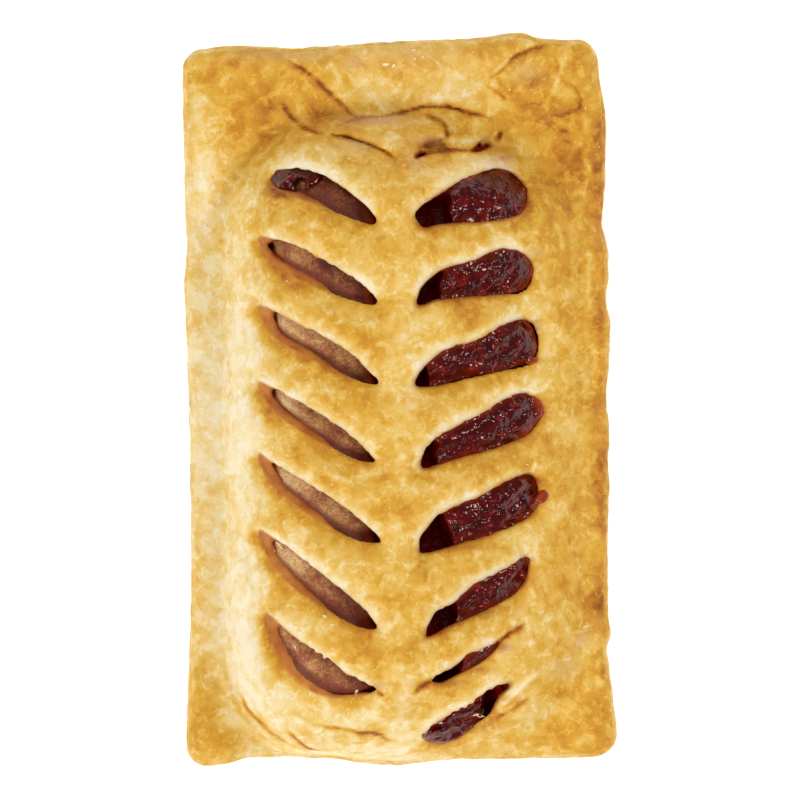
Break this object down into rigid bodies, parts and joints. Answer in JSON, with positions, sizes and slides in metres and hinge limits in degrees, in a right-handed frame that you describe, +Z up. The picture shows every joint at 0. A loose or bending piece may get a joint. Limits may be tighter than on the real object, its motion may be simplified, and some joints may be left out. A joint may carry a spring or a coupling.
{
  "type": "sausage roll",
  "caption": "Flat oblong puff pastry parcel with a domed roof of slanting cuts that show a skinless sausage on one side and thick spiced tomato sauce on the other.",
  "frame": {"origin": "centre of the flat underside", "axes": "+Y along the roll, +X across it from the sausage side to the sauce side, +Z up through the domed roof"},
  "size_m": [0.0823, 0.1392, 0.0269],
  "materials": {
    "pastry": "baked golden puff pastry with a faint egg-wash shine",
    "sausage": "cooked skinless sausage, dull and slightly moist",
    "sauce": "thick dark red-brown sauce, wet and wrinkled"
  },
  "bodies": {
    "root": {"pastry": "pastry", "sausage": "sausage", "sauce": "sauce"}
  },
  "joints": []
}
